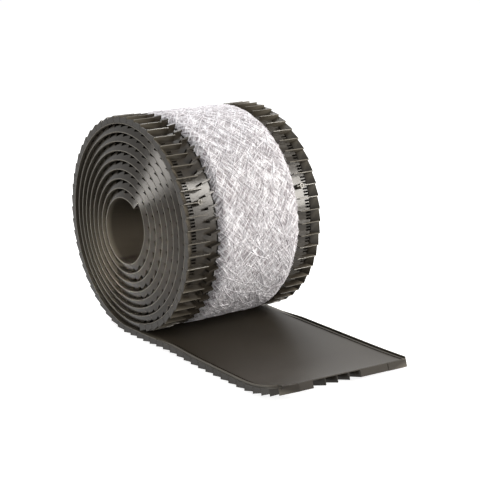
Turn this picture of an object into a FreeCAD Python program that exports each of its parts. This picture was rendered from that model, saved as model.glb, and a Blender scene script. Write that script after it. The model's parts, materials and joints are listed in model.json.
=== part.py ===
# Rolled ridge vent: a moulded plastic strip wound into a roll with its underside outwards,
# its free end laid out on the floor, and a fibre filter mat bonded to the underside.
# Units are millimetres. Z is up, Y runs along the roll's axis (across the strip), and the free
# end points to +X. The near edge of the strip is the one at -Y.
import FreeCAD
import Part

import os
from math import asin, ceil, cos, floor, pi, sin, sqrt

# Strip and roll
STRIP_WIDTH = 286.0
SHEET = 1.8                 # thickness of the flat sheet that carries everything else
RIB_HEIGHT = 12.4           # from the sheet's underside to the rib tips
ROLL_RADIUS = 205.0         # from the axis to the rib tips, where the strip leaves the floor
TURN_GAP = 1.1              # between the rib tips of a turn and the sheet of the next one out
BORE_RADIUS = 57.0
BORE_SHIFT_X = -14.0        # the turns are wound off centre, so the bore lies beside the axis
BORE_SHIFT_Z = -11.0
BORE_CLEARANCE = 0.3        # between the bore and the innermost turn that shows on the ends
TURN_FACETS = 12            # flat stretches in each of the inner turns that show on the ends
STEP_SHARE = 0.2            # of a turn: where the innermost turns step inwards over the strip's inner end
STEPPED_TURNS = 4           # turns over which that step fades into an even spiral

# Free end
TAIL_LENGTH = 430.0         # along the strip, from below the axis to the end
CURL_LENGTH = 100.0         # the last stretch lifts off the floor
CURL_RADIUS = 360.0

# Sections: one transverse rib each, repeated along the strip
SECTION_PITCH = 21.4
RIB_THICKNESS = 1.8
RIB_LENGTH = 44.0           # from the strip's edge inwards

# Louvre blades along both edges: each rises from a low end to the tip of the next rib
BLADE_WIDTH = 13.5
BLADE_THICKNESS = 1.6
BLADE_STEP = 6.0

# Vent slots beside the blades: blind pockets that narrow to a point, because the strip's other side is smooth
SLOTS_PER_SECTION = 3
SLOT_WIDTH = 3.4
SLOT_SPACING = 5.5
SLOT_LENGTH = 8.0
SLOT_LAND = 1.0             # between the blades and the slots
SLOT_DEPTH = 6.0            # in the wound roll
TAIL_SLOT_DEPTH = 1.2       # in the bare sheet of the free end

# End wall and the four slanted webs in the gap at its middle
END_WALL_GAP = 87.0
END_GAP_OFFSET = -16.5      # the gap's middle, from the strip's middle
WEB_COUNT = 4
WEB_LENGTH = 18.0
WEB_SKEW = 24.0
WEB_THICKNESS = 1.8

# Filter mat
FILTER_WIDTH = 174.0        # it reaches the far ribs and leaves a bare floor beside the near ones
FILTER_THICKNESS = 3.0
FILTER_DROP = 1.5           # its face lies this far below the rib tips
FILTER_END_GAP = 2          # sections of the free end that it leaves bare
FILTER_FACET = 2            # sections of the roll to each flat stretch of the mat

TURN_PITCH = SHEET + RIB_HEIGHT + TURN_GAP
FLOOR_RADIUS = ROLL_RADIUS - RIB_HEIGHT
TAIL_SECTIONS = ceil(TAIL_LENGTH / SECTION_PITCH)
BED = TAIL_SECTIONS * SECTION_PITCH - TAIL_LENGTH    # the roll rests on the section below its axis
LEAVE_ANGLE = asin(BED / FLOOR_RADIUS)
TAIL_FLOOR = -FLOOR_RADIUS * cos(LEAVE_ANGLE)
TAIL_TOP = TAIL_FLOOR + SHEET
HALF_WIDTH = STRIP_WIDTH / 2
SEAT_HEIGHT = RIB_HEIGHT - FILTER_DROP - FILTER_THICKNESS
FILTER_FAR = HALF_WIDTH - RIB_LENGTH
FILTER_NEAR = FILTER_FAR - FILTER_WIDTH
ACROSS = FreeCAD.Vector(0, 1, 0)
BORE_MIDDLE = FreeCAD.Vector(BORE_SHIFT_X, 0, BORE_SHIFT_Z)


def floor_radius(angle):
    """Radius of the sheet's underside; the angle runs inwards from below the axis, by way of -X."""
    return FLOOR_RADIUS - TURN_PITCH * (angle - LEAVE_ANGLE) / (2 * pi)


def inner_radius(angle, end):
    """Radius of the sheet's underside on the inner turns, which step inwards over the strip's inner end."""
    left = (end - angle) / (2 * pi)
    stepped = floor(left) + max(0, (left % 1 - 1 + STEP_SHARE) / STEP_SHARE)
    return floor_radius(angle) + TURN_PITCH * (stepped - left) * max(0, 1 - left / STEPPED_TURNS)


def roll_angle(length):
    """Angle reached after a length of strip, counted from below the axis."""
    wound = FLOOR_RADIUS - sqrt(FLOOR_RADIUS ** 2 - TURN_PITCH * (length - BED) / pi)
    return LEAVE_ANGLE + wound * 2 * pi / TURN_PITCH


def turn_length(angle):
    """Length of strip from below the axis up to an angle."""
    turned = angle - LEAVE_ANGLE
    return BED + FLOOR_RADIUS * turned - TURN_PITCH * turned ** 2 / (4 * pi)


def roll_point(radius, angle):
    return FreeCAD.Vector(-radius * sin(angle), 0, -radius * cos(angle))


def floor_point(length):
    """Point on the sheet's underside; negative lengths lie on the free end."""
    if length > BED:
        angle = roll_angle(length)
        return roll_point(floor_radius(angle), angle)
    flat = TAIL_LENGTH - CURL_LENGTH
    if -length <= flat:
        return FreeCAD.Vector(-length, 0, TAIL_FLOOR)
    bend = (-length - flat) / CURL_RADIUS
    lift = CURL_RADIUS * (1 - cos(bend))
    return FreeCAD.Vector(flat + CURL_RADIUS * sin(bend), 0, lift + TAIL_FLOOR)


SECTIONS = int((TAIL_LENGTH + turn_length(2 * pi)) / SECTION_PITCH)
FOLDS = [floor_point(k * SECTION_PITCH - TAIL_LENGTH) for k in range(SECTIONS + 1)]


def run(k):
    """Unit vector along section k, from the free end towards the roll."""
    return (FOLDS[k + 1] - FOLDS[k]).normalize()


def outward(direction):
    """The side on which the ribs stand, for a direction along the strip."""
    return direction.cross(ACROSS)


def section_length(k):
    return (FOLDS[k + 1] - FOLDS[k]).Length


def in_section(k, along, height):
    """Point in section k: along it from its first fold, and above the sheet's underside."""
    direction = run(k)
    return FOLDS[k] + direction * along + outward(direction) * height


def at_fold(k, height, shift=0.0):
    """Point at fold k on the line that halves the fold, shifted along the strip."""
    before = run(max(k - 1, 0))
    after = run(min(k, SECTIONS - 1))
    middle = (before + after).normalize()
    lean = middle.dot(after)
    return FOLDS[k] + outward(middle) * (height / lean) + middle * shift


def polygon(points):
    return Part.makePolygon(points + points[:1])


def slice_face(outline, holes=()):
    return Part.makeFace([polygon(outline)] + list(holes), "Part::FaceMakerBullseye")


def bore_wire():
    return Part.Wire(Part.makeCircle(BORE_RADIUS, BORE_MIDDLE, ACROSS))


def across(face, start, end):
    """Solid from a lengthwise section, spread across the strip between two places."""
    placed = face.translated(ACROSS * start)
    return placed.extrude(ACROSS * (end - start))


def spike(base, tip):
    """Solid that runs from a flat base to a point."""
    sides = [Part.Face(polygon([start, end, tip])) for start, end in zip(base, base[1:] + base[:1])]
    return Part.Solid(Part.Shell([Part.Face(polygon(base))] + sides))


def rib_outline(k, height):
    """Rib at fold k, from its foot on section k - 1 over its tip to its foot on section k."""
    half = RIB_THICKNESS / 2
    if k == 0:
        return [at_fold(0, 0), at_fold(0, height), in_section(0, RIB_THICKNESS, height),
                in_section(0, RIB_THICKNESS, 0)]
    return [in_section(k - 1, section_length(k - 1) - half, 0), at_fold(k, height, -half),
            at_fold(k, height, half), in_section(k, half, 0)]


def rib_side(k):
    """How far the rib at fold k reaches into section k."""
    return RIB_THICKNESS if k == 0 else RIB_THICKNESS / 2


def tail_top(start):
    """Smooth side of the free end, from a place along X to its end."""
    folds = [k for k in range(TAIL_SECTIONS, -1, -1) if FOLDS[k].x > start]
    return [at_fold(k, -SHEET) for k in folds]


def closed_roll(under):
    """Outline of the strip and its hidden turns, given the outline of its underside.

    The last rib of the outer turn closes the crevice above the free end."""
    wall = FOLDS[-1].x
    return under + [FOLDS[-1], FreeCAD.Vector(wall, 0, TAIL_TOP)] + tail_top(wall)


def ribbed_outline():
    under = []
    for k in range(SECTIONS):
        under += rib_outline(k, RIB_HEIGHT)
    return closed_roll(under)


def plain_outline():
    return closed_roll(FOLDS[:-1])


def seat_outline():
    """The closed seat under the filter, along the free end and round the roll."""
    under = [FOLDS[0], FOLDS[FILTER_END_GAP]]
    under += [at_fold(k, SEAT_HEIGHT) for k in mat_folds()]
    return closed_roll(under + [FOLDS[SECTIONS - 1]])


def mat_folds():
    """Folds at which the filter mat bends: all of them on the free end, and fewer round the roll."""
    on_roll = list(range(TAIL_SECTIONS, SECTIONS - 1, FILTER_FACET))
    return list(range(FILTER_END_GAP, TAIL_SECTIONS)) + on_roll + [SECTIONS - 1]


def blade_outline():
    """The strip's edge zone: ribs and blades outside, then the bare sheet wound inwards.

    The inner turns drift sideways until they lie round the bore."""
    low = RIB_HEIGHT - BLADE_STEP
    under = [at_fold(0, 0), at_fold(0, RIB_HEIGHT), in_section(0, RIB_THICKNESS, RIB_HEIGHT)]
    for k in range(SECTIONS - 1):
        under += [in_section(k, rib_side(k), low)]
        under += [at_fold(k + 1, RIB_HEIGHT, side * RIB_THICKNESS / 2) for side in (-1, 1)]
    under += [in_section(SECTIONS - 1, RIB_THICKNESS / 2, 0)]

    start = roll_angle(SECTIONS * SECTION_PITCH - TAIL_LENGTH)
    last_radius = (BORE_RADIUS + BORE_CLEARANCE) / cos(pi / TURN_FACETS)
    end = LEAVE_ANGLE + (FLOOR_RADIUS - SHEET - last_radius) * 2 * pi / TURN_PITCH
    steps = ceil((end - start) / (2 * pi) * TURN_FACETS)
    outer = []
    inner = []
    for i in range(steps + 1):
        angle = start + (end - start) * i / steps
        middle = BORE_MIDDLE * (i / steps)
        radius = inner_radius(angle, end)
        outer.append(middle + roll_point(radius, angle))
        inner.append(middle + roll_point(radius - SHEET, angle))
    wound_top = [at_fold(k, -SHEET) for k in range(SECTIONS, TAIL_SECTIONS - 1, -1)]
    return under + outer + inner[:0:-1] + wound_top + tail_top(FOLDS[TAIL_SECTIONS].x)


def louvre_openings():
    """Openings between the ribs under the blades, from the strip's edge to the slots."""
    openings = []
    for k in range(SECTIONS - 1):
        right = section_length(k) - RIB_THICKNESS / 2
        high = at_fold(k + 1, RIB_HEIGHT - BLADE_THICKNESS, -RIB_THICKNESS / 2)
        openings.append(polygon([in_section(k, rib_side(k), 0), in_section(k, right, 0), high]))
    return openings


def slots():
    """All the vent slots along the near edge."""
    start = ACROSS * (BLADE_WIDTH + SLOT_LAND - HALF_WIDTH)
    reach = ACROSS * SLOT_LENGTH
    cutters = []
    for k in range(SECTIONS):
        depth = TAIL_SLOT_DEPTH if k < TAIL_SECTIONS else SLOT_DEPTH
        for j in range(SLOTS_PER_SECTION):
            middle = section_length(k) / 2 + (j - (SLOTS_PER_SECTION - 1) / 2) * SLOT_SPACING
            first = in_section(k, middle - SLOT_WIDTH / 2, 0) + start
            last = in_section(k, middle + SLOT_WIDTH / 2, 0) + start
            mouth = [first, last, last + reach, first + reach]
            cutters.append(spike(mouth, in_section(k, middle, -depth) + start + reach / 2))
    return Part.makeCompound(cutters)


def end_wall():
    """Wall across the free end on both sides of the gap, and the slanted webs within the gap."""
    gap_start = END_GAP_OFFSET - END_WALL_GAP / 2
    gap_end = END_GAP_OFFSET + END_WALL_GAP / 2
    wall = slice_face(rib_outline(0, RIB_HEIGHT))
    rib_end = HALF_WIDTH - RIB_LENGTH
    pieces = [across(wall, -rib_end, gap_start), across(wall, gap_end, rib_end)]
    spacing = END_WALL_GAP / WEB_COUNT
    for i in range(WEB_COUNT):
        start = ACROSS * (gap_start + spacing * (i + 1) - WEB_THICKNESS / 2)
        end = start + ACROSS * -WEB_SKEW
        thick = ACROSS * WEB_THICKNESS
        outer = in_section(0, 0, -SHEET)
        inner = in_section(0, WEB_LENGTH, -SHEET)
        foot = polygon([outer + start, outer + start + thick, inner + end + thick, inner + end])
        pieces.append(Part.Face(foot).extrude(outward(run(0)) * (SHEET + RIB_HEIGHT)))
    return pieces


def edge_zone():
    """The near edge: blades over the bare sheet, then ribs and slots on the closed roll."""
    blades = across(slice_face(blade_outline(), louvre_openings()), -HALF_WIDTH, BLADE_WIDTH - HALF_WIDTH)
    ribbed = slice_face(ribbed_outline(), [bore_wire()])
    ribs = across(ribbed, BLADE_WIDTH - HALF_WIDTH, RIB_LENGTH - HALF_WIDTH)
    return blades.fuse(ribs.cut(slots())).removeSplitter()


def middle_zone():
    """The plain floor between the edge zones, with the filter's seat and the end wall."""
    rib_end = HALF_WIDTH - RIB_LENGTH
    plain = slice_face(plain_outline(), [bore_wire()])
    seat = slice_face(seat_outline(), [bore_wire()])
    floor = across(plain, -rib_end, rib_end)
    return floor.fuse([across(seat, FILTER_NEAR, FILTER_FAR)] + end_wall())


def vent_strip():
    near = edge_zone()
    far = near.mirror(FreeCAD.Vector(), ACROSS)
    return middle_zone().fuse([near, far])


def filter_mat():
    """Band on its seat round the roll and along the free end, stopping short of the end."""
    folds = mat_folds()
    face_side = [at_fold(k, SEAT_HEIGHT + FILTER_THICKNESS) for k in folds]
    seat_side = [at_fold(k, SEAT_HEIGHT) for k in reversed(folds)]
    return across(slice_face(face_side + seat_side), FILTER_NEAR, FILTER_FAR)


strip = vent_strip()
box = strip.BoundBox
to_floor = FreeCAD.Vector(-box.Center.x, 0, -box.ZMin)

os.makedirs("parts", exist_ok=True)
for name, shape in (("vent_strip", strip), ("filter_mat", filter_mat())):
    placed = shape.translated(to_floor)
    placed.exportStep("parts/" + name + ".step")
    print(name, len(placed.Solids), "solid", len(placed.Faces), "faces", placed.BoundBox)
print("roll axis at", to_floor)
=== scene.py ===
# Rolled ridge vent: the moulded strip, its filter mat and a plain studio.
# Sizes are in metres, in the part's frame, with the roll's axis along Y and the floor at zero.
import json
import random
from math import asin, cos, pi, radians, sin

import bmesh
import bpy
import numpy as np
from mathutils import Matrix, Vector, noise


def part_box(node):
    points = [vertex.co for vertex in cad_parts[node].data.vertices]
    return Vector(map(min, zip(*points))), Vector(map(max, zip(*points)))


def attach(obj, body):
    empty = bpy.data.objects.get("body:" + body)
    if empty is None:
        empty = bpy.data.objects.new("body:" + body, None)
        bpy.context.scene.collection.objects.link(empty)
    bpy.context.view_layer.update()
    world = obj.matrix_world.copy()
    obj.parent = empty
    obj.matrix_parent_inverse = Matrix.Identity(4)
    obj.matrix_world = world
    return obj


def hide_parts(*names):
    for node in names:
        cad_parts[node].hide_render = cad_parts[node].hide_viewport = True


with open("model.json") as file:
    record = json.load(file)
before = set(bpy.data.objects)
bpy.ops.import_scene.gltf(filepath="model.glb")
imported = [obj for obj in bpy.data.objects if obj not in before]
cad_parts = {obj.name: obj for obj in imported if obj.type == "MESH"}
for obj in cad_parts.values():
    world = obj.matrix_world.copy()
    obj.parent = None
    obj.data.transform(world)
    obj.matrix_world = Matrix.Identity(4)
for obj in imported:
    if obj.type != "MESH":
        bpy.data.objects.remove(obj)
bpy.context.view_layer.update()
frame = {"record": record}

MM = 0.001
MERGE_DISTANCE = 0.01 * MM

# Roll: its bore is the one that the part states, and the turns drift from the roll's axis
# to the bore
BORE_SHIFT = Vector((-14, 0, -11)) * MM
ROLL_AXIS = Vector(frame["record"]["mounts"][0]["pos_m"]) - BORE_SHIFT
HALF_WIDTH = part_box("vent_strip")[1].y
SHEET = 1.8 * MM
RIB_HEIGHT = 12.4 * MM
FLOOR_RADIUS = 192.6 * MM
LAST_RADIUS = 61.1 * MM       # of the sheet's underside at the strip's inner end
TURN_PITCH = 15.3 * MM
STEP_SHARE = 0.2              # of a turn, in which the inner turns step over the strip's inner end
STEPPED_TURNS = 4

# Free end: it leaves the roll flat, bulges a little and lifts at the end, most at its near corner
TAIL_LENGTH = 430 * MM
TAIL_SKEW = 6 * MM
CURL_LENGTH = 100 * MM
CURL_RADIUS = 360 * MM
CURL_SHARE = 0.75             # of the curl's lift: at mid width
CURL_TWIST = 0.62             # more of it at the near edge and less at the far one
BULGE_PLACE = 125 * MM
BULGE_REACH = 60 * MM
BULGE_HEIGHT = 3.5 * MM
CORNER_RADIUS = 22 * MM       # the near corner is rounded

# Sections of the strip, and the cells of the sheet's mesh along a section and across the strip
SECTION = 21.4 * MM
SECTION_CELLS = 4
SHEET_ROWS = 24
TAIL_SECTIONS = 21
OUTER_SECTIONS = 73
RIB_THICKNESS = 1.8 * MM
RIB_LENGTH = 44 * MM
RIB_FOOT = 0.6 * MM           # ribs, blades and fins start this far inside the sheet
SOFT_EDGE = 0.4 * MM          # rounding that the mould gives to their edges
BLADE_WIDTH = 13.5 * MM
BLADE_LOW = 8.6 * MM          # height of a blade's outer edge at its low end
BLADE_FOOT = 1 * MM           # height of a blade beside the slots
INNER_LOW = 6.5 * MM          # on the inner turns, which are pressed together, the edge leans in
INNER_HIGH = 13 * MM
INNER_LEAN = 6 * MM
INNER_EDGE_WIDTH = 2.2 * MM
SLOT_WIDTH = 3.4 * MM
SLOT_SPACING = 5.5 * MM
SLOT_LENGTH = 9.5 * MM
SLOT_INSET = 14 * MM
FIN_PLACE = 0.58              # of a section, from the rib before it
FIN_INSET = 47 * MM
FIN_LENGTH = 20 * MM
FIN_THICKNESS = 2 * RIB_THICKNESS
FIN_SKEW = 5 * MM
FIN_HEIGHT = 10.5 * MM
BOSS_INSET = 33 * MM          # nail bosses
BOSS_FIRST = 2                # section of the first one
BOSS_EVERY = 14               # sections from one to the next
BOSS_SIDES = 20
BOSS_RADIUS = 4.6 * MM
BOSS_WALL = 2.2 * MM
BOSS_DEPTH = 0.8 * RIB_HEIGHT
INNER_WALL_INSET = 68 * MM    # where the wound filter closes the gaps between the inner turns

# Lip along both edges of the free end's smooth side, with a low ridge beside it, and the stretch
# over which both fade towards the roll
LIP_HEIGHT = 3.5 * MM
LIP_WIDTH = 1.8 * MM
RIDGE_HEIGHT = 1.5 * MM
RIDGE_INSET = 8 * MM
LIP_SECTIONS = 16
LIP_FADE = 60 * MM

# End wall of the free end and the slanted webs in its gap, which leave deep channels
END_GAP = (-69 * MM, 36 * MM)
WEB_COUNT = 4
WEB_LENGTH = 38 * MM
WEB_SKEW = 20 * MM

# Filter mat
MAT_LOW, MAT_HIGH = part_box("filter_mat")
MAT_THICKNESS = 3 * MM
MAT_FACE = 10.9 * MM          # above the sheet's underside
MAT_DROOP = 9.4 * MM          # its edges sag onto the sheet
MAT_DROOP_WIDTH = 16 * MM
MAT_CELL = 4.5 * MM
MAT_WAVE = 9 * MM             # length of the unevenness of its face
MAT_UNEVEN = 0.7 * MM
MAT_FRAY = 2.2 * MM           # of its cut edges, in waves shorter than the face's
MAT_FRAY_WAVES = 2.5
MAT_START = 2 * SECTION
MAT_END = OUTER_SECTIONS * SECTION

# Loose strands on the mat's face: lengths and layers are in millimetres, angles in radians
FIBRE_SEED = 7
FIBRE_COUNT = 2300
FIBRE_POINTS = 8
FIBRE_RADIUS = 0.36 * MM
FIBRE_WIDTHS = (0.5, 1.7)     # times the radius
FIBRE_LENGTHS = (30, 120)
FIBRE_LAYERS = (-0.1, 0.9)    # above the mat's face
FIBRE_SLANT = radians(50)     # from the roll's axis
FIBRE_SLANT_SPREAD = 0.25
FIBRE_BOW = 0.5               # most turn along a strand
FIBRE_WAVE = 0.5 * MM         # rise and fall along a strand
FIBRE_WAVE_TURN = 6           # along a strand
FIBRE_WAVE_SHIFT = 400        # from strand to strand, for each metre of the strip
FIBRE_OVERHANG = 3.5 * MM     # past the mat's edges

# Scuffed tips and cut edges, made paler partly as a painted highlight: how far this mark reaches
# down from a tip and in from the strip's edge
TIP_WEAR_AND_HIGHLIGHT = 0.25 * MM
BLADE_WEAR_AND_HIGHLIGHT = 0.6 * MM
SHEET_WEAR_AND_HIGHLIGHT = 0.2 * MM
SHEET_FACE = 0.05 * MM        # points this near to the sheet's underside are on it
SMOOTH_SIDE = -0.9 * SHEET    # points past this height are on its smooth side

# Studio: the floor's grey and its glow where it is seen, the world's light, and the lamps with
# their place, aim, size, watts, colour and spread in degrees. The last is a narrow beam that
# reaches into the bore.
FLOOR_SIZE = 60
FLOOR_GREY = (0.55, 0.55, 0.55, 1)
FLOOR_GLOW = 0.87
WORLD_LIGHT = 0.26
WHITE = (1, 1, 1, 1)
NEUTRAL_LAMP = (1, 1, 1)
WARM_LAMP = (1, 0.96, 0.9)
BORE_MOUTH = ROLL_AXIS + BORE_SHIFT - Vector((-0.03, HALF_WIDTH, 0.04))
BEAM = Vector((0.95, -0.65, 0.33))
LAMPS = (("top", Vector((-1.2, 0.45, 2.15)), ROLL_AXIS, (1.6, 1.6), 52, NEUTRAL_LAMP, 180),
         ("back", Vector((1.3, 1.12, 0.95)), ROLL_AXIS, (0.35, 1.3), 46, WARM_LAMP, 180),
         ("front", Vector((-0.9, -2.09, 0.86)), ROLL_AXIS, (0.6, 0.6), 16, WARM_LAMP, 180),
         ("bore", BORE_MOUTH + BEAM, BORE_MOUTH, (0.14, 0.14), 0.1, WARM_LAMP, 6))

# Camera, as fitted to the photograph: round the roll's axis, with the aim beside it
CAMERA_TURN = radians(55.54)
CAMERA_RISE = radians(13.61)
CAMERA_REACH = 2.4027
CAMERA_LENS = 97.5            # in millimetres, as the sensor is
CAMERA_SENSOR = 36
AIM_RIGHT = 0.0852
AIM_DOWN = 0.0467

# Sockets of a Mix node for colours
MIX_SHARE, MIX_FIRST, MIX_SECOND, MIX_RESULT = 0, 6, 7, 2

# The roll rests on the section below its axis and leaves the floor at that section's end. The
# loose strands start a little further on.
BED = TAIL_SECTIONS * SECTION - TAIL_LENGTH
LEAVE_ANGLE = asin(BED / FLOOR_RADIUS)
LAST_ANGLE = LEAVE_ANGLE + (FLOOR_RADIUS - LAST_RADIUS) * 2 * pi / TURN_PITCH
FIBRE_START = TAIL_LENGTH + 3 * BED


def strip_path(length):
    """Place and lift of the sheet's underside, and its ribs' direction, at lengths from the end."""
    wound = length - TAIL_LENGTH
    left = np.maximum(FLOOR_RADIUS ** 2 - TURN_PITCH * np.maximum(wound - BED, 0) / pi, 0)
    radius = np.sqrt(left)
    angle = LEAVE_ANGLE + (FLOOR_RADIUS - radius) * 2 * pi / TURN_PITCH
    drift = np.clip((angle - 2 * pi) / (LAST_ANGLE - 2 * pi), 0, 1)
    turns_left = np.maximum((radius - LAST_RADIUS) / TURN_PITCH, 0)
    stepped = np.floor(turns_left) + np.maximum((turns_left % 1 - 1 + STEP_SHARE) / STEP_SHARE, 0)
    how_stepped = np.maximum(1 - turns_left / STEPPED_TURNS, 0)
    radius = radius + TURN_PITCH * (stepped - turns_left) * how_stepped
    bend = np.maximum(-wound - TAIL_LENGTH + CURL_LENGTH, 0) / CURL_RADIUS
    straight = np.clip(-wound, -BED, TAIL_LENGTH - CURL_LENGTH)
    on_roll = wound > BED
    x = np.where(on_roll, BORE_SHIFT.x * drift - radius * np.sin(angle),
                 straight + CURL_RADIUS * np.sin(bend))
    z = np.where(on_roll, BORE_SHIFT.z * drift - radius * np.cos(angle),
                 -FLOOR_RADIUS * cos(LEAVE_ANGLE))
    lift = CURL_RADIUS * (1 - np.cos(bend))
    out_x = np.where(on_roll, -np.sin(angle), np.sin(bend))
    out_z = np.where(on_roll, -np.cos(angle), -np.cos(bend))
    return ROLL_AXIS.x + x, ROLL_AXIS.z + z, lift, out_x, out_z


def rounded_corner(length, across, height):
    """Flat points with those at the free end's near corner drawn in to a quarter circle."""
    from_end = np.maximum(CORNER_RADIUS - length, 0)
    from_edge = np.maximum(CORNER_RADIUS - HALF_WIDTH - across, 0)
    share = np.maximum(from_end, from_edge) / np.maximum(np.hypot(from_end, from_edge), MM)
    share = np.where((from_end > 0) & (from_edge > 0), share, 1)
    return length + from_end * (1 - share), across + from_edge * (1 - share), height


def wind(piece):
    """Winds a flat piece, its length along X and its ribs up, and keeps its flat places."""
    count = len(piece.data.vertices)
    flat = np.zeros(count * 3)
    piece.data.vertices.foreach_get("co", flat)
    length, across, height = rounded_corner(*flat.reshape(-1, 3).T)
    x, z, lift, out_x, out_z = strip_path(length)
    side = across / HALF_WIDTH    # from -1 at the near edge to 1 at the far one
    before_axis = (TAIL_LENGTH - length - BULGE_PLACE) / BULGE_REACH
    bulge = BULGE_HEIGHT * np.exp(-before_axis ** 2) * (1 - side) / 2
    bulge = np.where(length < TAIL_LENGTH, bulge, 0)
    rise = lift * (CURL_SHARE - CURL_TWIST * side) + bulge
    skew = TAIL_SKEW * side * np.clip(1 - length / TAIL_LENGTH, 0, 1) ** 2
    wound = np.stack([x - skew + out_x * height, across, z + rise + out_z * height], axis=1)
    piece.data.attributes.new("flat", "FLOAT_VECTOR", "POINT").data.foreach_set("vector", flat)
    piece.data.vertices.foreach_set("co", wound.ravel())
    piece.data.update()


def mark_wear_and_highlight(piece):
    """Marks a flat piece's tips and cut edges, which get scuffing and a painted highlight, in an
    attribute.
    """
    wear_and_highlight = piece.data.attributes.new("wear_and_highlight", "FLOAT", "POINT")
    for vertex, mark in zip(piece.data.vertices, wear_and_highlight.data):
        along, across, height = vertex.co
        blade_top = BLADE_LOW + (RIB_HEIGHT - BLADE_LOW) * (along % SECTION) / SECTION
        blade_tip = abs(across) > HALF_WIDTH - BLADE_WEAR_AND_HIGHLIGHT and height > blade_top - TIP_WEAR_AND_HIGHLIGHT
        tip = along < OUTER_SECTIONS * SECTION and (blade_tip or height > RIB_HEIGHT - TIP_WEAR_AND_HIGHLIGHT)
        on_sheet = abs(height) < SHEET_FACE or height < SMOOTH_SIDE
        mark.value = float(tip or on_sheet and abs(across) > HALF_WIDTH - SHEET_WEAR_AND_HIGHLIGHT)


def deselect():
    """Leaves nothing selected, so that an operator acts on the next piece alone."""
    bpy.ops.object.select_all(action="DESELECT")


def apply_modifier(piece, kind, **settings):
    """Adds a modifier with its settings and applies it."""
    modifier = piece.modifiers.new(kind.lower(), kind)
    for name, value in settings.items():
        setattr(modifier, name, value)
    bpy.context.view_layer.objects.active = piece
    bpy.ops.object.modifier_apply(modifier=modifier.name)


def block(name, low, high):
    """A cube stretched between two corners, as the start of a piece."""
    deselect()
    low, high = Vector(low), Vector(high)
    bpy.ops.mesh.primitive_cube_add(size=1, location=(low + high) / 2)
    piece = bpy.context.object
    piece.name = name
    piece.scale = high - low
    bpy.ops.object.transform_apply(location=True, scale=True)
    return piece


def move_points(piece, test, shift):
    """Moves the points of a piece that pass a test, in edit mode."""
    bpy.ops.object.mode_set(mode="EDIT")
    bpy.ops.mesh.select_all(action="DESELECT")
    bpy.ops.mesh.select_mode(type="VERT")
    mesh = bmesh.from_edit_mesh(piece.data)
    for vertex in mesh.verts:
        vertex.select_set(test(vertex.co))
    mesh.select_flush_mode()
    bmesh.update_edit_mesh(piece.data)
    bpy.ops.transform.translate(value=shift)
    bpy.ops.object.mode_set(mode="OBJECT")


def cut(piece, planes):
    """Cuts a piece's faces along planes, each given by a point and a normal."""
    bpy.context.view_layer.objects.active = piece
    bpy.ops.object.mode_set(mode="EDIT")
    for place, normal in planes:
        bpy.ops.mesh.select_all(action="SELECT")
        bpy.ops.mesh.bisect(plane_co=place, plane_no=normal)
    bpy.ops.object.mode_set(mode="OBJECT")


def repeat(piece, count, step=SECTION, merge=False):
    """Copies a piece along the strip."""
    apply_modifier(piece, "ARRAY", count=count, use_relative_offset=False, use_constant_offset=True,
                   constant_offset_displace=(step, 0, 0), use_merge_vertices=merge,
                   merge_threshold=MERGE_DISTANCE)
    return piece


def mirrored(piece):
    """Adds the far edge's copy of a near edge piece."""
    apply_modifier(piece, "MIRROR", use_axis=(False, True, False), use_mirror_merge=False)
    return piece


def joined(name, pieces):
    """Makes one piece of several."""
    deselect()
    for piece in pieces:
        piece.select_set(True)
    bpy.context.view_layer.objects.active = pieces[0]
    bpy.ops.object.join()
    pieces[0].name = name
    return pieces[0]


def flat_sheet(first, sections):
    """A stretch of the sheet without slots, from one section on."""
    deselect()
    bpy.ops.mesh.primitive_grid_add(x_subdivisions=SECTION_CELLS * sections,
                                    y_subdivisions=SHEET_ROWS, size=1,
                                    location=((first + sections / 2) * SECTION, 0, 0))
    sheet = bpy.context.object
    sheet.scale = (sections * SECTION, 2 * HALF_WIDTH, 1)
    bpy.ops.object.transform_apply(location=True, scale=True)
    apply_modifier(sheet, "SOLIDIFY", thickness=SHEET, offset=-1)
    return sheet


def slotted_sheet():
    """The sheet of the outer turn, with six vent slots in each section."""
    deselect()
    bpy.ops.mesh.primitive_plane_add(size=1, location=((TAIL_SECTIONS + 0.5) * SECTION, 0, 0))
    sheet = bpy.context.object
    sheet.scale = (SECTION, 2 * HALF_WIDTH, 1)
    bpy.ops.object.transform_apply(location=True, scale=True)
    middles = [(TAIL_SECTIONS + 0.5) * SECTION + j * SLOT_SPACING for j in (-1, 0, 1)]
    along = [middle + side * SLOT_WIDTH / 2 for middle in middles for side in (-1, 1)]
    first = HALF_WIDTH - SLOT_INSET
    last = first - SLOT_LENGTH
    cut(sheet, [((x, 0, 0), (1, 0, 0)) for x in along])
    cut(sheet, [((0, y, 0), (0, 1, 0)) for y in (-first, -last, last, first)])
    bpy.ops.object.mode_set(mode="EDIT")
    bpy.ops.mesh.select_mode(type="FACE")
    bpy.ops.mesh.select_all(action="DESELECT")
    mesh = bmesh.from_edit_mesh(sheet.data)
    for face in mesh.faces:
        centre = face.calc_center_median()
        in_row = last < abs(centre.y) < first
        in_slot = any(abs(centre.x - middle) < SLOT_WIDTH / 2 for middle in middles)
        face.select_set(in_row and in_slot)
    bmesh.update_edit_mesh(sheet.data)
    bpy.ops.mesh.delete(type="FACE")
    bpy.ops.object.mode_set(mode="OBJECT")
    repeat(sheet, OUTER_SECTIONS - TAIL_SECTIONS, merge=True)
    apply_modifier(sheet, "SOLIDIFY", thickness=SHEET, offset=-1)
    return sheet


def lip(inset, height):
    """A lip along both edges of the smooth side, tapered towards the roll."""
    cell = SECTION / SECTION_CELLS
    start = inset - HALF_WIDTH
    piece = block("lip", (0, start, -SHEET - height), (cell, start + LIP_WIDTH, -SHEET / 2))
    repeat(piece, SECTION_CELLS * LIP_SECTIONS, step=cell)
    for vertex in piece.data.vertices:
        if vertex.co.z < -SHEET:
            share = min(1, (LIP_SECTIONS * SECTION - vertex.co.x) / LIP_FADE)
            vertex.co.z = -SHEET - height * share
    return mirrored(piece)


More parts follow.
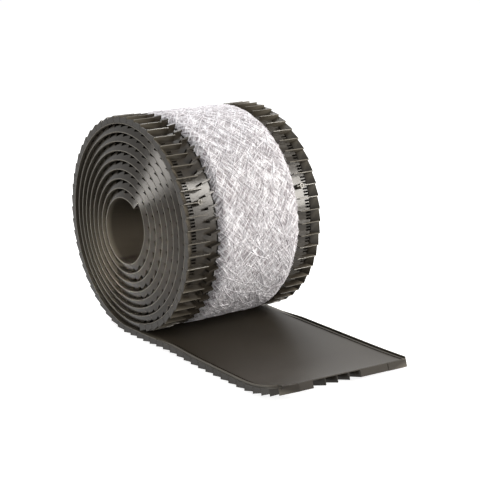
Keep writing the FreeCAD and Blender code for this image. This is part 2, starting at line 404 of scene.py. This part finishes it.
def rib(length, height, lean):
    """One near rib on the first fold, its outer end leaning in."""
    half = RIB_THICKNESS / 2
    piece = block("rib", (-half, -HALF_WIDTH, -RIB_FOOT), (half, length - HALF_WIDTH, height))
    move_points(piece, lambda co: co.z > 0 and co.y < -HALF_WIDTH + MM, (0, lean, 0))
    return piece


def blade():
    """One near blade: a plate that slopes up to the strip's edge, more so towards the next rib."""
    half = RIB_THICKNESS / 2
    piece = block("blade", (half, -HALF_WIDTH, -RIB_FOOT),
                  (SECTION - half, BLADE_WIDTH - HALF_WIDTH, BLADE_FOOT))
    for vertex in piece.data.vertices:
        if vertex.co.z > 0 and vertex.co.y < -HALF_WIDTH + MM:
            vertex.co.z = BLADE_LOW + (RIB_HEIGHT - BLADE_LOW) * vertex.co.x / SECTION
    return piece


def inner_edge():
    """One near blade's edge on the inner turns, cut across so that it bends with them."""
    half = RIB_THICKNESS / 2
    piece = block("inner_edge", (half, -HALF_WIDTH, -RIB_FOOT),
                  (SECTION - half, INNER_EDGE_WIDTH - HALF_WIDTH, INNER_LOW))
    shares = [cell / SECTION_CELLS for cell in range(1, SECTION_CELLS)]
    cut(piece, [((SECTION * share, 0, 0), (1, 0, 0)) for share in shares])
    for vertex in piece.data.vertices:
        if vertex.co.z > 0:
            vertex.co.z += (INNER_HIGH - INNER_LOW) * vertex.co.x / SECTION
            vertex.co.y += INNER_LEAN * vertex.co.z / INNER_HIGH
    return piece


def boss():
    """One near nail boss: a ring with a deep hole."""
    deselect()
    place = (BOSS_FIRST * SECTION, BOSS_INSET - HALF_WIDTH, (RIB_HEIGHT - RIB_FOOT) / 2)
    bpy.ops.mesh.primitive_cylinder_add(vertices=BOSS_SIDES, radius=BOSS_RADIUS,
                                        depth=RIB_HEIGHT + RIB_FOOT, location=place)
    piece = bpy.context.object
    piece.name = "boss"
    bpy.ops.object.transform_apply(location=True)
    bpy.ops.object.mode_set(mode="EDIT")
    bpy.ops.mesh.select_mode(type="FACE")
    mesh = bmesh.from_edit_mesh(piece.data)
    for face in mesh.faces:
        face.select_set(face.normal.z > 0.9)
    bmesh.update_edit_mesh(piece.data)
    bpy.ops.mesh.inset(thickness=BOSS_WALL)
    bpy.ops.mesh.extrude_region_move(TRANSFORM_OT_translate={"value": (0, 0, -BOSS_DEPTH)})
    bpy.ops.object.mode_set(mode="OBJECT")
    return mirrored(repeat(piece, OUTER_SECTIONS // BOSS_EVERY, step=BOSS_EVERY * SECTION))


def fin():
    """One slanted fin between the near ribs and the filter."""
    half = FIN_THICKNESS / 2
    middle = FIN_PLACE * SECTION
    start = FIN_INSET - HALF_WIDTH
    piece = block("fin", (middle - half, start, -RIB_FOOT),
                  (middle + half, start + FIN_LENGTH, FIN_HEIGHT))
    move_points(piece, lambda co: co.y > start + MM, (-FIN_SKEW, 0, 0))
    return piece


def softened(piece):
    """Rounds a small piece's edges, as its mould does."""
    apply_modifier(piece, "BEVEL", width=SOFT_EDGE, segments=1, limit_method="ANGLE")
    return piece


def end_wall():
    """The wall across the free end, in two stretches, and the webs in the gap between them."""
    inner = HALF_WIDTH - RIB_LENGTH
    pieces = [block("end_wall", (0, start, -RIB_FOOT), (RIB_THICKNESS, end, RIB_HEIGHT))
              for start, end in ((-inner, END_GAP[0]), (END_GAP[1], inner))]
    spacing = (END_GAP[1] - END_GAP[0]) / WEB_COUNT
    for i in range(WEB_COUNT):
        start = END_GAP[0] + spacing * (i + 1) - RIB_THICKNESS / 2
        web = block("web", (0, start, -RIB_FOOT), (WEB_LENGTH, start + RIB_THICKNESS, RIB_HEIGHT))
        move_points(web, lambda co: co.x > MM, (0, -WEB_SKEW, 0))
        pieces.append(web)
    return [softened(piece) for piece in pieces]


def vent_strip():
    """The whole strip, modelled flat and then wound."""
    length = TAIL_LENGTH + BED + (FLOOR_RADIUS ** 2 - LAST_RADIUS ** 2) * pi / TURN_PITCH
    inner_sections = int(length / SECTION) - OUTER_SECTIONS
    start = OUTER_SECTIONS * SECTION

    outer = [mirrored(softened(rib(RIB_LENGTH, RIB_HEIGHT, 0))), mirrored(softened(blade())),
             softened(fin())]
    outer = [repeat(piece, OUTER_SECTIONS) for piece in outer]

    wall = block("inner_wall", (0, INNER_WALL_INSET - HALF_WIDTH, 0),
                 (SECTION, INNER_WALL_INSET + SHEET - HALF_WIDTH, RIB_HEIGHT))
    inner = [mirrored(rib(BLADE_WIDTH, INNER_HIGH, INNER_LEAN)), mirrored(inner_edge()),
             mirrored(wall)]
    inner = [repeat(piece, inner_sections) for piece in inner]
    for piece in inner:
        piece.location.x = start
        deselect()
        piece.select_set(True)
        bpy.ops.object.transform_apply(location=True)

    sheets = [flat_sheet(0, TAIL_SECTIONS), slotted_sheet(),
              flat_sheet(OUTER_SECTIONS, inner_sections)]
    lips = [lip(0, LIP_HEIGHT), lip(RIDGE_INSET, RIDGE_HEIGHT)]
    strip = joined("ridge_vent_strip", sheets + lips + [boss()] + outer + inner + end_wall())
    mark_wear_and_highlight(strip)
    wind(strip)
    return strip


def mat_inset(y):
    """Distance of a place across the strip from the mat's nearer edge."""
    return min(y - MAT_LOW.y, MAT_HIGH.y - y)


def mat_droop(y):
    """How far the mat's face sags at a place across the strip."""
    return MAT_DROOP * max(0, 1 - max(mat_inset(y), 0) / MAT_DROOP_WIDTH) ** 2


def filter_mat():
    """The mat as a soft, slightly uneven band with ragged edges, thickened and then wound."""
    width = MAT_HIGH.y - MAT_LOW.y
    length = MAT_END - MAT_START
    middle = ((MAT_START + MAT_END) / 2, (MAT_LOW.y + MAT_HIGH.y) / 2, MAT_FACE)
    deselect()
    bpy.ops.mesh.primitive_grid_add(x_subdivisions=int(length / MAT_CELL),
                                    y_subdivisions=int(width / MAT_CELL), size=1, location=middle)
    mat = bpy.context.object
    mat.name = "filter_mat_fibre"
    mat.scale = (length, width, 1)
    bpy.ops.object.transform_apply(location=True, scale=True)
    for vertex in mat.data.vertices:
        place = vertex.co / MAT_WAVE
        vertex.co.z += MAT_UNEVEN * noise.noise(place) - mat_droop(vertex.co.y)
        if mat_inset(vertex.co.y) < MM:
            vertex.co.y += MAT_FRAY * noise.noise(place * MAT_FRAY_WAVES)
    apply_modifier(mat, "SOLIDIFY", thickness=MAT_THICKNESS, offset=-1)
    wind(mat)
    return mat


def loose_fibres():
    """Crossing strands that lie on the mat's face all round the roll."""
    dice = random.Random(FIBRE_SEED)
    curve = bpy.data.curves.new("loose_fibres", "CURVE")
    curve.dimensions = "3D"
    curve.bevel_depth = FIBRE_RADIUS
    curve.bevel_resolution = 0
    for _ in range(FIBRE_COUNT):
        slant = dice.gauss(FIBRE_SLANT, FIBRE_SLANT_SPREAD) * dice.choice((-1, 1))
        reach = dice.uniform(*FIBRE_LENGTHS) * MM
        bow = dice.uniform(-FIBRE_BOW, FIBRE_BOW)
        along = dice.uniform(FIBRE_START, MAT_END)
        middle = Vector((along, dice.uniform(MAT_LOW.y, MAT_HIGH.y), 0))
        base = MAT_FACE + dice.uniform(*FIBRE_LAYERS) * MM
        points = []
        for i in range(FIBRE_POINTS):
            share = i / (FIBRE_POINTS - 1) - 0.5
            turn = slant + bow * share
            spot = middle + Vector((sin(turn), cos(turn), 0)) * (reach * share)
            wave = sin(FIBRE_WAVE_TURN * share + middle.x * FIBRE_WAVE_SHIFT)
            points.append((spot.x, spot.y, base + FIBRE_WAVE * wave - mat_droop(spot.y)))
        points = [p for p in points if mat_inset(p[1]) > -FIBRE_OVERHANG]
        points = [p for p in points if FIBRE_START < p[0] < MAT_END]
        if len(points) < 3:
            continue
        spline = curve.splines.new("POLY")
        spline.points.add(len(points) - 1)
        spline.points.foreach_set("co", [value for p in points for value in (*p, 1)])
        spline.points.foreach_set("radius", [dice.uniform(*FIBRE_WIDTHS)] * len(points))
    fibres = bpy.data.objects.new("loose_fibres", curve)
    bpy.context.scene.collection.objects.link(fibres)
    deselect()
    fibres.select_set(True)
    bpy.context.view_layer.objects.active = fibres
    bpy.ops.object.convert(target="MESH")
    fibres = bpy.context.object
    wind(fibres)
    return fibres


def linear(code):
    """Linear colour of an sRGB hex value."""
    parts = [int(code[i:i + 2], 16) / 255 for i in (0, 2, 4)]
    return [p / 12.92 if p <= 0.04045 else ((p + 0.055) / 1.055) ** 2.4 for p in parts] + [1]


def add_node(tree, kind, inputs=None, **settings):
    """Adds a node: settings are its properties, inputs are constants or sockets to link."""
    made = tree.nodes.new(kind)
    for name, value in settings.items():
        setattr(made, name, value)
    for name, value in (inputs or {}).items():
        if isinstance(value, bpy.types.NodeSocket):
            tree.links.new(value, made.inputs[name])
        else:
            made.inputs[name].default_value = value
    return made


def new_material(name):
    """A material with its node tree and its shader."""
    material = bpy.data.materials.new(name)
    material.use_nodes = True
    return material, material.node_tree, material.node_tree.nodes["Principled BSDF"]


def moulded_polypropylene():
    # Moulded polypropylene: warm charcoal with cloudy flow marks, a fine mould grain and paler tips
    # and cut edges, partly scuffed and partly a painted highlight. The ribbed side shines, and the
    # smooth side is matter.
    flow_marks, mould_grain, grain_depth, grain_strength = 90 * MM, 1.2 * MM, 0.15 * MM, 0.25
    dark, light, scuff_and_highlight_colour, scuff_and_highlight_share = "2b2721", "37322b", "857f73", 0.45
    smooth_roughness, ribbed_roughness = 0.42, 0.21
    material, tree, shader = new_material("moulded_polypropylene")
    place = add_node(tree, "ShaderNodeTexCoord").outputs["Object"]
    clouds = add_node(tree, "ShaderNodeTexNoise",
                      {"Vector": place, "Scale": 1 / flow_marks, "Detail": 1.0})
    grain = add_node(tree, "ShaderNodeTexNoise",
                     {"Vector": place, "Scale": 1 / mould_grain, "Detail": 2.0})
    body = add_node(tree, "ShaderNodeMix",
                    {MIX_SHARE: clouds.outputs["Fac"], MIX_FIRST: linear(dark),
                     MIX_SECOND: linear(light)}, data_type="RGBA")
    # The pale mix on tips and cut edges is partly scuffing and partly a painted highlight.
    wear_and_highlight = add_node(tree, "ShaderNodeAttribute", attribute_name="wear_and_highlight")
    scuff_and_highlight_mask = add_node(tree, "ShaderNodeMath", {0: wear_and_highlight.outputs["Fac"], 1: scuff_and_highlight_share},
                     operation="MULTIPLY")
    colour = add_node(tree, "ShaderNodeMix",
                      {MIX_SHARE: scuff_and_highlight_mask.outputs[0], MIX_FIRST: body.outputs[MIX_RESULT],
                       MIX_SECOND: linear(scuff_and_highlight_colour)}, data_type="RGBA")
    flat = add_node(tree, "ShaderNodeAttribute", attribute_name="flat")
    height = add_node(tree, "ShaderNodeSeparateXYZ", {0: flat.outputs["Vector"]})
    gloss = add_node(tree, "ShaderNodeMapRange",
                     {"Value": height.outputs["Z"], "From Min": -SHEET, "From Max": 0.0,
                      "To Min": smooth_roughness, "To Max": ribbed_roughness})
    bump = add_node(tree, "ShaderNodeBump",
                    {"Height": grain.outputs["Fac"], "Strength": grain_strength,
                     "Distance": grain_depth})
    tree.links.new(colour.outputs[MIX_RESULT], shader.inputs["Base Color"])
    tree.links.new(gloss.outputs[0], shader.inputs["Roughness"])
    tree.links.new(bump.outputs[0], shader.inputs["Normal"])
    shader.inputs["IOR"].default_value = 1.49
    shader.inputs["Specular IOR Level"].default_value = 0.28
    return material


def nonwoven_fibre(name, pale, painted_gap_shade):
    # Nonwoven polyester: matt white, with two families of crossing strands over a cloudy grey that
    # is painted shade in the mat's depth. The strands are drawn wider than real ones, so that they
    # show.
    strand, strand_length, relief, relief_strength = 2.6 * MM, 20 * MM, 1.2 * MM, 0.6
    thin, dense = 0.44, 0.66
    material, tree, shader = new_material(name)
    place = add_node(tree, "ShaderNodeAttribute", attribute_name="flat").outputs["Vector"]
    strands = []
    for turn in (FIBRE_SLANT, -FIBRE_SLANT):
        along = add_node(tree, "ShaderNodeMapping",
                         {"Vector": place, "Rotation": (0, 0, turn),
                          "Scale": (strand, strand_length, strand_length)}, vector_type="TEXTURE")
        strands.append(add_node(tree, "ShaderNodeTexNoise",
                                {"Vector": along.outputs[0], "Scale": 1.0, "Detail": 3.0}))
    crossing = add_node(tree, "ShaderNodeMath",
                        {0: strands[0].outputs["Fac"], 1: strands[1].outputs["Fac"]},
                        operation="MAXIMUM")
    thick = add_node(tree, "ShaderNodeMapRange",
                     {"Value": crossing.outputs[0], "From Min": thin, "From Max": dense})
    # Where the strands thin out, the colour turns to the painted shade between them.
    colour = add_node(tree, "ShaderNodeMix",
                      {MIX_SHARE: thick.outputs[0], MIX_FIRST: linear(painted_gap_shade),
                       MIX_SECOND: linear(pale)}, data_type="RGBA")
    bump = add_node(tree, "ShaderNodeBump",
                    {"Height": crossing.outputs[0], "Strength": relief_strength,
                     "Distance": relief})
    tree.links.new(colour.outputs[MIX_RESULT], shader.inputs["Base Color"])
    tree.links.new(bump.outputs[0], shader.inputs["Normal"])
    shader.inputs["Roughness"].default_value = 0.9
    shader.inputs["Sheen Weight"].default_value = 0.15
    return material


def seen_directly(tree):
    """One for rays that see the background, straight or reflected, and zero for its light."""
    path = add_node(tree, "ShaderNodeLightPath")
    seen = add_node(tree, "ShaderNodeMath",
                    {0: path.outputs["Is Camera Ray"], 1: path.outputs["Is Glossy Ray"]},
                    operation="MAXIMUM")
    seen = add_node(tree, "ShaderNodeMath",
                    {0: seen.outputs[0], 1: path.outputs["Is Transmission Ray"]},
                    operation="MAXIMUM")
    return seen.outputs[0]


def studio():
    """White floor, soft light and the camera at the photograph's place."""
    deselect()
    bpy.ops.mesh.primitive_plane_add(size=FLOOR_SIZE)
    floor = bpy.context.object
    floor.name = "floor"
    paint, tree, shader = new_material("white_floor")
    glow = add_node(tree, "ShaderNodeMath", {0: seen_directly(tree), 1: FLOOR_GLOW},
                    operation="MULTIPLY")
    tree.links.new(glow.outputs[0], shader.inputs["Emission Strength"])
    shader.inputs["Emission Color"].default_value = WHITE
    shader.inputs["Base Color"].default_value = FLOOR_GREY
    shader.inputs["Roughness"].default_value = 0.9
    shader.inputs["Specular IOR Level"].default_value = 0.0
    floor.data.materials.append(paint)

    world = bpy.data.worlds.new("studio")
    world.use_nodes = True
    sky = world.node_tree.nodes["Background"]
    sky.inputs["Color"].default_value = WHITE
    strength = add_node(world.node_tree, "ShaderNodeMapRange",
                        {"Value": seen_directly(world.node_tree), "To Min": WORLD_LIGHT})
    world.node_tree.links.new(strength.outputs[0], sky.inputs["Strength"])
    bpy.context.scene.world = world

    for name, place, target, size, power, colour, spread in LAMPS:
        lamp = bpy.data.lights.new(name, "AREA")
        lamp.shape = "RECTANGLE"
        lamp.size, lamp.size_y = size
        lamp.energy = power
        lamp.color = colour
        lamp.spread = radians(spread)
        stand = bpy.data.objects.new(name, lamp)
        stand.location = place
        stand.rotation_euler = (target - place).to_track_quat("-Z", "Y").to_euler()
        stand.visible_camera = False
        bpy.context.scene.collection.objects.link(stand)

    level = cos(CAMERA_RISE)
    back = Vector((sin(CAMERA_TURN) * level, -cos(CAMERA_TURN) * level, sin(CAMERA_RISE)))
    right = Vector((cos(CAMERA_TURN), sin(CAMERA_TURN), 0))
    up = back.cross(right)
    aim = ROLL_AXIS + right * AIM_RIGHT - up * AIM_DOWN
    lens = bpy.data.cameras.new("camera")
    lens.lens = CAMERA_LENS
    lens.sensor_width = CAMERA_SENSOR
    camera = bpy.data.objects.new("camera", lens)
    camera.location = ROLL_AXIS + back * CAMERA_REACH
    camera.rotation_euler = (aim - camera.location).to_track_quat("-Z", "Y").to_euler()
    bpy.context.scene.collection.objects.link(camera)
    bpy.context.scene.camera = camera
    bpy.context.scene.view_settings.view_transform = "Standard"


strip = vent_strip()
strip.data.materials.append(moulded_polypropylene())
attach(strip, "root")
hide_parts("vent_strip")

mat = filter_mat()
# Its second colour is painted shade between the strands.
mat.data.materials.append(nonwoven_fibre("nonwoven_polyester", "eeeef2", "837c81"))
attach(mat, "root")
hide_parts("filter_mat")

fibres = loose_fibres()
# Its second colour is a lighter painted shade between the strands.
fibres.data.materials.append(nonwoven_fibre("polyester_strand", "f5f4f8", "d5d1d6"))
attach(fibres, "root")

studio()
